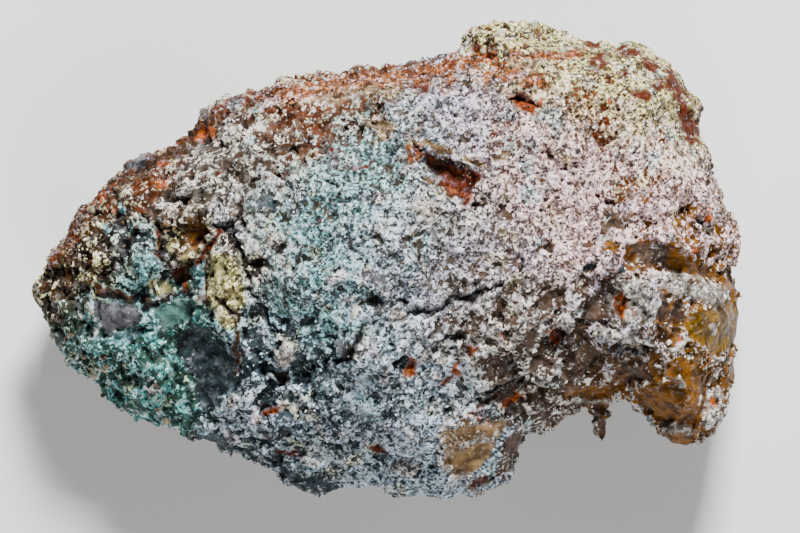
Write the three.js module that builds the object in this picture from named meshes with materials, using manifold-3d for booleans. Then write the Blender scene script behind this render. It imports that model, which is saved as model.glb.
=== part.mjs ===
// A hand specimen of rough moss agate: one stone of pale, pitted crust over amber chalcedony.
// Millimetres, +Z up. It lies on the broad fracture on its back, with its best face up.
// +X runs along its length to the blunt amber end, +Y across it to the rust-stained edge.
// The origin is in the resting plane, under the middle of the stone's outer box.
import * as THREE from "three";
import { ImprovedNoise } from "three/addons/math/ImprovedNoise.js";
import { mergeVertices } from "three/addons/utils/BufferGeometryUtils.js";
import Module from "manifold-3d";

const wasm = await Module();
wasm.setup();

// How the stone is built up, in millimetres.
const WAIST = { height: 15, wander: 3, wavelength: 19 };
const BACK = { depth: 1.5, riseAlongX: 0.0024, riseAlongY: 0.0062, middleY: -1 };
const EDGE_ROUND = { pointedEnd: 13, bluntEnd: 7.5 };
const THINNEST = 2;
const OUTLINE_MARGIN = 0.3;
const CELL = { x: 1.92, y: 1.92, z: 2.4 };
const LOW = { x: -47.25, y: -33, z: -3.2 };
const HIGH = { x: 47.25, y: 33, z: 43 };

// The widest line of the stone seen from above, from its pointed end clockwise.
const OUTLINE = [
  [-44.5, -4.2], [-44, -2.3], [-42.7, -0.5], [-42.6, 1.3], [-40.5, 2.7], [-39.2, 5],
  [-38.2, 6.5], [-36.7, 7.3], [-35.7, 9], [-34.2, 11], [-33.3, 11.8], [-30.3, 12],
  [-29.5, 13.3], [-27, 14.7], [-25.6, 16], [-24, 16.7], [-22.8, 18.5], [-21, 19.7],
  [-19.5, 20.6], [-16.5, 21.2], [-15, 21.3], [-13, 22.6], [-10.3, 23.4], [-6.2, 23.4],
  [-3.2, 24], [0, 24.2], [2, 24.7], [4.3, 25.7], [9.6, 26.4], [11, 27],
  [10.4, 28.2], [12.3, 29.5], [17, 29.4], [20, 29.5], [21.2, 28.5], [25, 28.1],
  [28, 28], [28.8, 27.4], [31.7, 27.5], [33, 26.8], [35.2, 25], [36.5, 24.5],
  [38, 21.6], [39.5, 20.3], [39.1, 18.5], [39.3, 16.5], [40.5, 12.6], [41, 10.5],
  [41.8, 9.4], [41.6, 8], [43.8, 3.6], [44.3, 2], [44, 0.6], [42.9, -0.9],
  [44.4, -2.9], [44.2, -8.3], [43.7, -12.8], [43.8, -14.6], [42.4, -16.1], [42.8, -17.9],
  [41.3, -21], [38.7, -22.8], [36.8, -23.1], [35.6, -22.7], [33.7, -20.3], [31.4, -18.4],
  [29.8, -16.4], [27.7, -17.7], [24.4, -18.8], [22.2, -19.5], [20.5, -20.4], [19.3, -21.4],
  [17.7, -21.5], [16.4, -24.3], [15.4, -27.1], [13.2, -28.4], [11.9, -29.6], [9.8, -28.8],
  [7.4, -30], [4.3, -29.1], [3, -30.2], [1.3, -30], [-1.7, -27.8], [-5.8, -28],
  [-7.3, -30], [-9.4, -29.3], [-13.5, -27.7], [-14, -26.1], [-15.4, -25.5], [-21.5, -23.3],
  [-25, -22.3], [-27, -21], [-29.5, -20.3], [-34.6, -17.3], [-35.8, -15.6], [-40, -13.3],
  [-41.6, -11.4], [-41.8, -10], [-43.4, -7.6],
];

// Heights of the upper face at landmarks across it: x, y, height.
const FACE_SPREAD = 5.5;
const FACE_HEIGHTS = [
  // the pale plateau, from its back edge to its crest
  [-24, 12, 30], [-11, 18, 32], [1, 20, 33.5], [14, 22, 34], [26, 22, 33.5], [35, 19, 31.5],
  [-18, 7, 32], [-8, 9, 34], [3, 9, 36], [14, 11, 37], [26, 12, 36.5], [37, 10, 33],
  [-14, -1, 33.5], [-4, 0, 35.5], [6, 1, 37], [16, 3, 38], [26, 5, 37], [38, 3, 34],
  // the crest and the slope below it
  [-4, -6, 35], [6, -4.5, 37], [14, -3, 37.5], [22, 1, 37.5], [31, 3, 36],
  [2, -10, 34], [11, -8, 33.5], [21, -6, 33.5], [31, -5, 31.5], [40, -6, 30.5],
  [-5, -17, 31.5], [5, -16, 31.5], [14, -15, 29.5], [22, -13, 28.5], [31, -12, 29.5], [39, -14, 29],
  [-12, -21, 28], [-3, -24, 26.5], [7, -24, 26.5], [13, -22, 25.5], [36, -20, 26],
  [-10, -28, 17], [1, -29, 22], [11, -28, 22],
  // the pointed end
  [-17, -8, 31], [-19, -14, 28.5], [-24, -15, 25], [-33, -5, 27], [-35, 2, 26.5], [-28, 8, 28],
  [-41, -5, 22], [-36, -13, 22], [-28, -19, 20], [-20, -21, 22],
];

// Broken steps in the face: the low side is on the right of the way the points run, the drop
// dies out over its reach, and past the ends it fades between straight on and this far beside.
const LEDGE_END = 0.6;
const LEDGES = [
  {
    name: "crest of the plateau",
    drop: 3.4, reach: 5, edge: 0.7,
    points: [[22, 0.5], [13.5, -2], [10.5, -4], [8.6, -3.8], [7, -4.2], [6.8, -5.6],
      [4.5, -6.1], [-1, -7], [-4.2, -7.4], [-4.5, -10], [-7, -12.6]],
  },
  {
    name: "end of the plateau above the pointed end",
    drop: 2.2, reach: 4, edge: 1,
    points: [[-13.5, -15], [-12.5, -12.5], [-18, -11], [-19, -8], [-16.5, -4.5], [-18, -1], [-20.5, 4]],
  },
  {
    name: "lip of the upper lobe of the pointed end",
    drop: 3, reach: 4, edge: 0.7,
    points: [[-23, -3.4], [-25.8, -4], [-28, -4.6], [-31.2, -5], [-34, -4.5], [-37, -3.8]],
  },
  {
    name: "overhang above the glassy hollow at the blunt end",
    drop: 2.8, reach: 3.4, edge: 0.7,
    points: [[42, 1], [39, 0], [36, 2.6], [33, 3.4], [29, 2.4], [26, 1]],
  },
  {
    name: "shelf over the lower rust pockets",
    drop: 1.6, reach: 3, edge: 0.7,
    points: [[22, -12], [18, -14], [15, -16.5], [11, -18], [7, -20]],
  },
];

// Bowls broken or dissolved out of the face: centre, half widths, depth and turn in degrees.
const PITS = [
  { name: "long rust pocket under the crack", at: [7.6, 10.5], size: [5, 2.3], depth: 2, turn: -38 },
  { name: "small rust pocket", at: [17.2, 19.4], size: [2.3, 1.2], depth: 1.4, turn: -18 },
  { name: "round brown pocket", at: [-24, 3], size: [1.8, 2], depth: 2.6, turn: 0 },
  { name: "red hollow of the pointed end", at: [-26, -1.8], size: [2.8, 1.6], depth: 2.4, turn: 10 },
  { name: "side arm of the brown pocket", at: [-20.5, 3.2], size: [2, 1.1], depth: 1.4, turn: -20 },
  { name: "blue scar", at: [-22.8, -13.2], size: [4.4, 5.6], depth: 1.9, turn: 28 },
  { name: "glassy hollow", at: [33.5, 0], size: [5, 2.4], depth: 2.2, turn: -22 },
  { name: "rust pocket at the blunt end", at: [29, -5.6], size: [1.8, 2.2], depth: 1.7, turn: 0 },
  { name: "rust pocket of the slope", at: [2.4, -13.2], size: [1.8, 1.6], depth: 1.7, turn: -30 },
  { name: "rust pocket by the shelf", at: [15.4, -17], size: [2.2, 1.5], depth: 1.8, turn: 25 },
  { name: "small pocket by the hollow", at: [20.8, -9.4], size: [1.6, 1.6], depth: 1.5, turn: 0 },
  { name: "smooth hollow above the tooth", at: [24.5, -12.5], size: [2.6, 4], depth: 1.8, turn: -10 },
  { name: "dark window of the notch", at: [27.5, -13], size: [2.4, 2], depth: 1.7, turn: 0 },
  { name: "tan window", at: [10, -24.5], size: [3.6, 3.6], depth: 1, turn: 20 },
  { name: "brown pocket of the low edge", at: [-13.5, -22.8], size: [3, 1.2], depth: 1.6, turn: -10 },
  { name: "small brown pocket of the low edge", at: [-14.6, -18.9], size: [1.6, 1.1], depth: 1.2, turn: 15 },
  { name: "dark corner below the plateau", at: [-14, -14], size: [2.4, 1.4], depth: 1.6, turn: -25 },
];

// Rounded swellings of the face, in the same terms.
const SWELLS = [
  { name: "smooth grey lump", at: [-34, -6.8], size: [4, 2.6], depth: 1.3, turn: -8 },
  { name: "upper lobe of the pointed end", at: [-32.5, -0.5], size: [6, 3.6], depth: 1.2, turn: -10 },
  { name: "lobe under the blue scar", at: [-30, -15], size: [5, 3], depth: 1.1, turn: -30 },
  { name: "knuckle on the crest", at: [-8.5, -10.5], size: [3.4, 2.2], depth: 1.3, turn: 25 },
  { name: "boss on the back edge", at: [15, 27.5], size: [4.4, 1.8], depth: 1.4, turn: 0 },
  { name: "spur of the low slope", at: [-2, -19], size: [7, 2.4], depth: 1.1, turn: -8 },
  { name: "ring of crust at the blunt end", at: [30, -8.5], size: [3.4, 1.6], depth: 0.9, turn: 0 },
  { name: "glassy corner", at: [40, -9], size: [3, 4], depth: 1, turn: 0 },
  { name: "amber foot", at: [38, -18], size: [3.6, 3.4], depth: 1.2, turn: 0 },
  { name: "shoulder by the rust stains", at: [33, 21], size: [4.6, 3], depth: 0.9, turn: -35 },
];

// Shells of rock that have flaked off the sides and the back: centre and radius.
const FLAKES = [
  { at: [24, -30, -7], radius: 15 }, { at: [48, -2, -4], radius: 15 }, { at: [-36, -26, -2], radius: 14 },
  { at: [-14, -38, -3], radius: 16 }, { at: [-40, 14, -3], radius: 15 }, { at: [-8, 35, -2], radius: 16 },
  { at: [30, 38, 0], radius: 15 }, { at: [51, 20, 3], radius: 14 }, { at: [-22, 2, -19.5], radius: 20 },
  { at: [18, 16, -16.5], radius: 18 }, { at: [-52, -6, 4], radius: 11 }, { at: [40, -22, -4], radius: 12 },
  { at: [2, 38, 30], radius: 13 }, { at: [-30, 26, 24], radius: 11 }, { at: [56, 6, 30], radius: 15 },
];

// How far the knobs' faces depart from an oval, and over what share of it.
const KNOB_ROUGHNESS = { height: 0.22, perRadius: 1.7 };

// Small angular lumps that stand out of the edge: centre, with its height over the widest line,
// half widths and turn about Z in degrees.
const KNOBS = [
  { name: "glassy chip on the back edge", at: [-31.4, 12.2, 1], size: [2.3, 1.1, 1.6], turn: 38 },
  { name: "grey knob on the back edge", at: [-3.2, 23.4, 1], size: [1.2, 0.9, 1.2], turn: 0 },
  { name: "grey knob beside it", at: [0, 23.5, 1], size: [1.3, 0.8, 1.2], turn: 10 },
  { name: "crystal knob of the boss", at: [18.6, 28.9, 1], size: [1.5, 1.4, 1.6], turn: 20 },
  { name: "left knob of the boss", at: [11.6, 28.1, 0.5], size: [1.5, 1.2, 1.5], turn: 15 },
  { name: "small tooth of the back edge", at: [27.6, 27.6, 1], size: [0.8, 0.7, 1], turn: 0 },
  { name: "knob of the blunt end", at: [39, 19.8, 1], size: [0.9, 0.9, 1.2], turn: 0 },
  { name: "second knob of the blunt end", at: [41.3, 9, 1], size: [0.8, 0.9, 1.1], turn: 0 },
  { name: "amber corner of the blunt end", at: [43, -3.4, 1], size: [1.3, 1.4, 2], turn: 0 },
  { name: "glassy chunk under the low edge", at: [-9.6, -27.2, -2.5], size: [4.2, 2, 2.6], turn: -17 },
];

// The drip of chalcedony that hangs in the notch of the low edge, its height again over the
// widest line, and its radius at each share of its length.
const DRIP_ROOT = new THREE.Vector3(26.2, -15.9, 1);
const DRIP_TIP = new THREE.Vector3(27.3, -23.1, -0.2);
const DRIP_PROFILE = [
  [0, 0], [2.3, 0.02], [1.8, 0.28], [1.25, 0.5], [0.95, 0.68], [0.85, 0.82], [0.5, 0.95], [0, 1],
];
const DRIP_SIDES = 9;

const TABLE = { width: 200, depth: 20 };

// Roughness: wavelength and height of each layer of lumps.
const ROUGHNESS = [
  { wavelength: 17, height: 1.1 },
  { wavelength: 8, height: 0.75 },
  { wavelength: 4.3, height: 0.45 },
];

// The lumps are calmer by this much at the outline, and come to their full height this far in.
const EDGE_CALM = { share: 0.15, width: 3 };

// Where in the noise the lumps are taken from.
const NOISE_PLACE = [4.2, 7.3, 1.9, 5.1];

// Blocks that the rock breaks into: each is shifted inwards and tilted against its neighbours,
// in full a little way off the widest line, and much less on the upper face. None is moved in by
// more than its most, so that no gap opens between two blocks.
const BLOCKS = {
  count: 190, seed: 23, shift: 1.8, tilt: 0.22, most: 2, offWaist: 4, onFace: 0.15, faceEdge: 2.5,
};

// How far the sides wander in and out away from the widest line, and over what distance.
const SIDE_WANDER = { middle: 0.5, reachAbove: 1.2, reachBelow: 3, wavelength: 9, from: 2.5, full: 10 };

// How the points of the net are drawn on to the surface: steps, longest step, slope sample,
// how far inside a filled corner lies, and the least slope that a point is moved by.
const SETTLE_STEPS = 3;
const SETTLE_REACH = 0.4;
const SLOPE_SAMPLE = 0.15;
const FILLED = 1e-3;
const LEAST_SLOPE = 0.5;

const noise = new ImprovedNoise();
const smoothstep = THREE.MathUtils.smoothstep;

// Distance from a point to the segment a b, and which side of it the point is on, from -1 to 1.
function toSegment(x, y, a, b) {
  const along = [b[0] - a[0], b[1] - a[1]];
  const length = Math.hypot(...along);
  const share = ((x - a[0]) * along[0] + (y - a[1]) * along[1]) / length ** 2;
  const t = THREE.MathUtils.clamp(share, 0, 1);
  const away = [x - a[0] - t * along[0], y - a[1] - t * along[1]];
  const distance = Math.hypot(...away);
  const right = (away[0] * along[1] - away[1] * along[0]) / (length * Math.max(distance, 1e-9));
  return { distance, right };
}

function nearestSegment(x, y, points, closed) {
  let nearest = { distance: Infinity, right: 0 };
  const last = closed ? points.length : points.length - 1;
  for (let i = 0; i < last; i++) {
    const found = toSegment(x, y, points[i], points[(i + 1) % points.length]);
    if (found.distance < nearest.distance) nearest = found;
  }
  return nearest;
}

// How far inside the outline a point is, negative outside.
function inside(x, y) {
  let odd = false;
  for (let i = 0, j = OUTLINE.length - 1; i < OUTLINE.length; j = i++) {
    const [ax, ay] = OUTLINE[i];
    const [bx, by] = OUTLINE[j];
    if (ay > y !== by > y && x < ((bx - ax) * (y - ay)) / (by - ay) + ax) odd = !odd;
  }
  const { distance } = nearestSegment(x, y, OUTLINE, true);
  return (odd ? distance : -distance) + OUTLINE_MARGIN;
}

// 1 at the middle of an oval, 0 at its rim and beyond.
function oval(x, y, { at, size, turn }) {
  const angle = THREE.MathUtils.degToRad(turn);
  const dx = x - at[0];
  const dy = y - at[1];
  const u = (dx * Math.cos(angle) + dy * Math.sin(angle)) / size[0];
  const v = (dy * Math.cos(angle) - dx * Math.sin(angle)) / size[1];
  return Math.max(0, 1 - u * u - v * v);
}

function ledgeDrop(x, y, { points, drop, reach, edge }) {
  const { distance, right } = nearestSegment(x, y, points, false);
  const beside = smoothstep(right, 0, LEDGE_END);
  return drop * Math.exp(-distance / reach) * smoothstep(distance * right, 0, edge) * beside;
}

function faceHeight(x, y) {
  let weights = 0;
  let height = 0;
  for (const [px, py, z] of FACE_HEIGHTS) {
    const weight = Math.exp(-((x - px) ** 2 + (y - py) ** 2) / (2 * FACE_SPREAD ** 2));
    weights += weight;
    height += weight * z;
  }
  height /= weights;
  for (const ledge of LEDGES) height -= ledgeDrop(x, y, ledge);
  for (const pit of PITS) height -= pit.depth * Math.sqrt(oval(x, y, pit));
  for (const swell of SWELLS) height += swell.depth * oval(x, y, swell);
  return height;
}

function backHeight(x, y) {
  return BACK.riseAlongX * x ** 2 + BACK.riseAlongY * (y - BACK.middleY) ** 2 - BACK.depth;
}

// The height at which the stone is widest wanders up and down around it.
function waistHeight(x, y) {
  const { height, wander, wavelength } = WAIST;
  return height + wander * noise.noise(x / wavelength, y / wavelength, NOISE_PLACE[0]);
}

// How far in from the outline the edge rounds over: gently at the pointed end, steeply at the other.
function edgeRound(x) {
  return THREE.MathUtils.mapLinear(x, LOW.x, HIGH.x, EDGE_ROUND.pointedEnd, EDGE_ROUND.bluntEnd);
}

function roughness(x, y, z) {
  let sum = 0;
  for (const { wavelength, height } of ROUGHNESS) {
    const [u, v, w] = [x, y, z].map((coordinate, axis) => coordinate / wavelength + NOISE_PLACE[axis + 1]);
    sum += height * noise.noise(u, v, w);
  }
  return sum;
}

function makeBlocks() {
  THREE.MathUtils.seededRandom(BLOCKS.seed);
  const between = (low, high) => THREE.MathUtils.lerp(low, high, THREE.MathUtils.seededRandom());
  return Array.from({ length: BLOCKS.count }, () => ({
    at: [between(LOW.x, HIGH.x), between(LOW.y, HIGH.y), between(0, HIGH.z)],
    shift: between(0, BLOCKS.shift),
    tilt: [0, 1, 2].map(() => between(-BLOCKS.tilt, BLOCKS.tilt)),
  }));
}

const blocks = makeBlocks();

// How far the nearest block moves the surface inwards at a point.
function blockShift(x, y, z) {
  let nearest = Infinity;
  let moved = 0;
  for (const { at, shift, tilt } of blocks) {
    const away = [x - at[0], y - at[1], z - at[2]];
    const distance = away[0] ** 2 + away[1] ** 2 + away[2] ** 2;
    if (distance > nearest) continue;
    nearest = distance;
    moved = shift + away[0] * tilt[0] + away[1] * tilt[1] + away[2] * tilt[2];
  }
  return THREE.MathUtils.clamp(moved, 0, BLOCKS.most);
}

// Below zero in the stone, above zero outside it, and near its surface about the distance to it.
function stoneField(x, y, z) {
  const waist = waistHeight(x, y);
  const offWaist = Math.abs(z - waist);
  const reach = z > waist ? SIDE_WANDER.reachAbove : SIDE_WANDER.reachBelow;
  const wander = reach * smoothstep(offWaist, SIDE_WANDER.from, SIDE_WANDER.full);
  const [u, v, w] = [x, y, z].map((coordinate) => coordinate / SIDE_WANDER.wavelength);
  const inward = inside(x, y) - wander * (SIDE_WANDER.middle + noise.noise(u, v, w));
  const round = edgeRound(x);
  const rim = Math.max(0, 1 - inward / round);
  const towardsSurface = z > waist ? faceHeight(x, y) - waist : waist - backHeight(x, y);
  const thickness = Math.max(towardsSurface, THINNEST);
  const lumpShare = THREE.MathUtils.lerp(EDGE_CALM.share, 1, smoothstep(inward, 0, EDGE_CALM.width));
  const faceShare = z > waist ? smoothstep(inward, 0, BLOCKS.faceEdge) : 0;
  const besideWaist = smoothstep(offWaist, 0, BLOCKS.offWaist);
  const blockShare = besideWaist * THREE.MathUtils.lerp(1, BLOCKS.onFace, faceShare);
  const shifts = roughness(x, y, z) * lumpShare + blockShift(x, y, z) * blockShare;
  let field = (Math.hypot(rim, offWaist / thickness) - 1) * Math.min(round, thickness) + shifts;
  for (const { at, radius } of FLAKES) {
    field = Math.max(field, radius - Math.hypot(x - at[0], y - at[1], z - at[2]));
  }
  return field;
}

// Two corners that face each other across a cell side must not both differ from the other two,
// or two sheets of the surface would meet in one line there: the nearer empty one is filled in.
function settleCorners(values, steps, size) {
  const sidesOf = [[0, 1], [1, 2], [0, 2]];
  for (let changed = true; changed; ) {
    changed = false;
    for (const [a, b] of sidesOf) {
      for (let index = 0; index + steps[a] + steps[b] < size; index++) {
        const corners = [index, index + steps[a], index + steps[a] + steps[b], index + steps[b]];
        const signs = corners.map((corner) => values[corner] < 0);
        if (signs[0] !== signs[2] || signs[1] !== signs[3] || signs[0] === signs[1]) continue;
        const [p, q] = corners.filter((corner) => values[corner] >= 0);
        const filled = values[p] < values[q] ? p : q;
        values[filled] = Math.min(-values[filled], -FILLED);
        changed = true;
      }
    }
  }
}

// Draws a point near the surface along the field's slope until it lies on the surface.
function settlePoint(field, start) {
  let point = start;
  for (let step = 0; step < SETTLE_STEPS; step++) {
    const value = field(...point);
    const slope = [0, 1, 2].map((axis) => {
      const ahead = point.map((coordinate, d) => coordinate + (d === axis ? SLOPE_SAMPLE : 0));
      return (field(...ahead) - value) / SLOPE_SAMPLE;
    });
    const steepness = Math.max(Math.hypot(...slope), LEAST_SLOPE);
    const move = THREE.MathUtils.clamp(-value / steepness, -SETTLE_REACH, SETTLE_REACH);
    point = point.map((coordinate, axis) => coordinate + (move * slope[axis]) / steepness);
  }
  return point;
}

// The zero surface of a field, as one vertex in each grid cell that it crosses.
function surfaceOf(field) {
  const low = [LOW.x, LOW.y, LOW.z];
  const cell = [CELL.x, CELL.y, CELL.z];
  const counts = [HIGH.x, HIGH.y, HIGH.z].map((high, axis) => Math.ceil((high - low[axis]) / cell[axis]) + 1);
  const steps = [1, counts[0], counts[0] * counts[1]];
  const values = new Float64Array(counts[0] * counts[1] * counts[2]);
  const indexOf = (i, j, k) => i + j * steps[1] + k * steps[2];
  for (let k = 0; k < counts[2]; k++) {
    for (let j = 0; j < counts[1]; j++) {
      for (let i = 0; i < counts[0]; i++) {
        values[indexOf(i, j, k)] = field(low[0] + i * cell[0], low[1] + j * cell[1], low[2] + k * cell[2]);
      }
    }
  }
  settleCorners(values, steps, values.length);

  const vertexOf = new Int32Array(values.length);
  const positions = [];
  const corners = [0, 1, 2, 3, 4, 5, 6, 7].map((n) => [n & 1, (n >> 1) & 1, n >> 2]);
  for (let k = 0; k < counts[2] - 1; k++) {
    for (let j = 0; j < counts[1] - 1; j++) {
      for (let i = 0; i < counts[0] - 1; i++) {
        const sum = [0, 0, 0];
        let crossings = 0;
        for (const from of corners) {
          for (let axis = 0; axis < 3; axis++) {
            if (from[axis]) continue;
            const start = indexOf(i + from[0], j + from[1], k + from[2]);
            const a = values[start];
            const b = values[start + steps[axis]];
            if (a < 0 === b < 0) continue;
            const t = a / (a - b);
            [i, j, k].forEach((n, d) => (sum[d] += low[d] + (n + from[d] + (d === axis ? t : 0)) * cell[d]));
            crossings++;
          }
        }
        if (!crossings) continue;
        vertexOf[indexOf(i, j, k)] = positions.length / 3;
        positions.push(...settlePoint(field, sum.map((total) => total / crossings)));
      }
    }
  }

  const triangles = [];
  const gap = (p, q) => Math.hypot(...[0, 1, 2].map((d) => positions[3 * p + d] - positions[3 * q + d]));
  for (let index = 0; index < values.length; index++) {
    for (let axis = 0; axis < 3; axis++) {
      const ahead = index + steps[axis];
      if (ahead >= values.length || values[index] < 0 === values[ahead] < 0) continue;
      const e = steps[(axis + 1) % 3];
      const f = steps[(axis + 2) % 3];
      const ring = [index - e - f, index - f, index, index - e].map((cellIndex) => vertexOf[cellIndex]);
      if (values[index] >= 0) ring.reverse();
      const [p, q, r, s] = ring;
      if (gap(p, r) < gap(q, s)) triangles.push(p, q, r, p, r, s);
      else triangles.push(q, r, s, q, s, p);
    }
  }
  const geometry = new THREE.BufferGeometry();
  geometry.setAttribute("position", new THREE.Float32BufferAttribute(positions, 3));
  geometry.setIndex(triangles);
  return geometry;
}

function solidOf(geometry) {
  const bare = geometry.clone().deleteAttribute("normal").deleteAttribute("uv");
  const merged = mergeVertices(bare, 1e-4);
  return new wasm.Manifold(
    new wasm.Mesh({
      numProp: 3,
      vertProperties: merged.attributes.position.array,
      triVerts: new Uint32Array(merged.index.array),
    }),
  );
}

function geometryOf(solid) {
  const mesh = solid.getMesh();
  const geometry = new THREE.BufferGeometry();
  geometry.setAttribute("position", new THREE.BufferAttribute(mesh.vertProperties, 3));
  geometry.setIndex(new THREE.BufferAttribute(mesh.triVerts, 1));
  return geometry;
}

// A rough many-sided pebble, so that a knob has the look of a broken crystal.
function knobSolid({ at, size, turn }) {
  const geometry = new THREE.IcosahedronGeometry(1, 1);
  const position = geometry.attributes.position;
  for (let i = 0; i < position.count; i++) {
    const point = new THREE.Vector3().fromBufferAttribute(position, i);
    const [u, v, w] = point.clone().multiplyScalar(KNOB_ROUGHNESS.perRadius);
    const swell = 1 + KNOB_ROUGHNESS.height * noise.noise(u + at[0], v + at[1], w);
    position.setXYZ(i, ...point.multiplyScalar(swell));
  }
  geometry.scale(...size);
  geometry.rotateZ(THREE.MathUtils.degToRad(turn));
  geometry.translate(at[0], at[1], at[2] + waistHeight(at[0], at[1]));
  return solidOf(geometry);
}

function dripSolid() {
  const length = DRIP_ROOT.distanceTo(DRIP_TIP);
  const profile = DRIP_PROFILE.map(([radius, share]) => new THREE.Vector2(radius, share * length));
  const geometry = new THREE.LatheGeometry(profile, DRIP_SIDES);
  const direction = DRIP_TIP.clone().sub(DRIP_ROOT).normalize();
  geometry.applyQuaternion(new THREE.Quaternion().setFromUnitVectors(new THREE.Vector3(0, 1, 0), direction));
  geometry.translate(DRIP_ROOT.x, DRIP_ROOT.y, DRIP_ROOT.z + waistHeight(DRIP_ROOT.x, DRIP_ROOT.y));
  return solidOf(geometry);
}

// All that is under the resting plane is cut away, which leaves the flat that the stone lies on.
function tableSolid() {
  const { width, depth } = TABLE;
  return solidOf(new THREE.BoxGeometry(width, width, depth).translate(0, 0, -depth / 2));
}

function stoneGeometry() {
  // The flakes may cut crumbs loose: only the stone itself is kept.
  const pieces = solidOf(surfaceOf(stoneField)).decompose();
  let stone = pieces.reduce((largest, piece) => (piece.volume() > largest.volume() ? piece : largest));
  for (const knob of KNOBS) stone = stone.add(knobSolid(knob));
  stone = stone.add(dripSolid()).subtract(tableSolid());
  const geometry = geometryOf(stone);
  geometry.computeBoundingBox();
  const middle = geometry.boundingBox.getCenter(new THREE.Vector3());
  geometry.translate(-middle.x, -middle.y, 0);
  geometry.computeVertexNormals();
  return geometry;
}

const stoneMaterial = new THREE.MeshStandardMaterial({ color: 0xa9a7ab, roughness: 0.62, metalness: 0 });
const stone = new THREE.Mesh(stoneGeometry(), stoneMaterial);
stone.name = "moss_agate";

const specimen = new THREE.Group();
specimen.add(stone);
export default specimen;
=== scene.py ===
# The looks of a rough lump of moss agate: a pale, pitted crust with rust pockets over
# glassy amber chalcedony, laid on its back on a plain pale floor and seen from above.
# Places and sizes below are in millimetres unless a comment or a property gives another unit.
import math

import bpy
import numpy as np
from bpy.props import FloatProperty, FloatVectorProperty, IntProperty, PointerProperty
from bpy.types import Operator, Panel, PropertyGroup
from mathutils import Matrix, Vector


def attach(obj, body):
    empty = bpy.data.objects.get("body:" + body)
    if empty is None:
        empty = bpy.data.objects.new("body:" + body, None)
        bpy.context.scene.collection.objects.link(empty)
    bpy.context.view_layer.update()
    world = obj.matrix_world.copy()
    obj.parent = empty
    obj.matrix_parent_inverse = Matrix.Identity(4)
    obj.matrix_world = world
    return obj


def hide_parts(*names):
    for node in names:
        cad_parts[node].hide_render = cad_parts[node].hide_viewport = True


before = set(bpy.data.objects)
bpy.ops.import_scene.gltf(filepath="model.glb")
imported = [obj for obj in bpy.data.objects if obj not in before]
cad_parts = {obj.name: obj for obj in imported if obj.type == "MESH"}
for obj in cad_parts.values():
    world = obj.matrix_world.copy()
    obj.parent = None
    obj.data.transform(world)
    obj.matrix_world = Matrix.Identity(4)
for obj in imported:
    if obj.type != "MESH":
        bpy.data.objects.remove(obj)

bl_info = {
    "name": "Moss Agate",
    "version": (1, 0, 0),
    "blender": (4, 5, 0),
    "location": "3D View > Sidebar > Moss Agate",
    "description": "Dresses the solid of a rough moss agate with its crust, stains and crystals",
    "category": "Add Mesh",
}

MM = 0.001
NODE = "moss_agate"
BANDS = ("agate_back", "agate_waist", "agate_face")

# The picture: its size in pixels, the pixels in a millimetre and the point under its middle.
PICTURE = {"width": 800, "height": 533, "per_mm": 8.0, "middle": (1.41, -0.71)}
FACE_LEVEL = 27
LENS = 320
SENSOR = 36

# Broad tints of the upper face: place, spread, the colour of the pale crust, the colour of the
# glass under it, and how much of the glass the crust covers.
TINTS = [
    (-43, -3, 5, "cream", "umber", 0), (-38, 6, 5, "cream", "umber", -0.3),
    (-30, 12, 4, "sand", "russet", 0), (-36, 0, 3, "cream", "umber", 0.25),
    (-34, -9, 5, "verdigris", "moss", 0.35), (-25, -7, 4, "verdigris", "moss", 0.5),
    (-21, -3, 3, "cream", "moss", 0.32), (-30, -2, 3, "aqua", "moss", 0.7),
    (-32.5, 2, 3, "aqua", "slate", 0.25), (-38, -12, 5, "aqua", "moss", 0.35),
    (-30, -16, 5, "verdigris", "moss", 0.45), (-24, 9, 4, "bone", "gloom", 0.26),
    (-18, 13, 6, "bone", "gloom", 0.5), (-19, 6, 4, "bone", "gloom", 0.6),
    (-12, 18, 6, "sand", "russet", 0.14), (-11, 5, 7, "aqua", "gloom", 0.9),
    (-10, -4, 6, "aqua", "slate", 0.8), (-16, -12, 5, "blue_grey", "slate", 0.2),
    (-14, -24, 6, "blue_grey", "slate", 0.52), (-2, 14, 6, "aqua", "gloom", 0.9),
    (0, 1, 6, "blue_grey", "gloom", 0.85), (7, 17, 5, "lilac", "gloom", 0.72),
    (8, 6, 6, "bone", "gloom", 0.85), (7, -1, 5, "lilac", "gloom", 0.8),
    (18, 14, 6, "blush", "russet", 0.95), (22, 23, 5, "cream", "russet", 0.8),
    (33, 20, 6, "cream", "russet", 0.8), (30, 12, 6, "blush", "russet", 0.95),
    (20, 6, 6, "blush", "smoke", 0.85), (33, 5, 5, "blush", "amber", 0.55),
    (13, 1, 5, "lilac", "smoke", 0.75), (12, -8, 6, "bone", "smoke", 0.45),
    (0, -14, 6, "blue_grey", "slate", 0.6), (-5, -24, 6, "blue_grey", "slate", 0.72),
    (4, -19, 6, "blue_grey", "slate", 0.84), (7, -28, 5, "blue_grey", "slate", 0.75),
    (21, -13, 5, "bone", "smoke", 0.2), (28, -9, 5, "lilac", "smoke", 0.35),
    (31, -15, 5, "bone", "amber", 0.2), (40, -9, 5, "bone", "amber", 0.15),
    (39, -17, 5, "bone", "amber", 0.2), (41, 3, 4, "blush", "amber", 0.5),
    (-3, 21, 4, "sand", "russet", 0.08), (14, 27, 3, "cream", "umber", 0.3),
    (-25, 2, 3.5, "cream", "umber", -0.25), (-15.5, -0.5, 3, "sand", "smoke", 0.5),
]
# Colours that patches of the crust lean towards.
ACCENTS = ("aqua", "lilac", "cream", "bone", "sand", "blush")


# Larger than any distance on the stone.
FAR = 1e9

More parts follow.
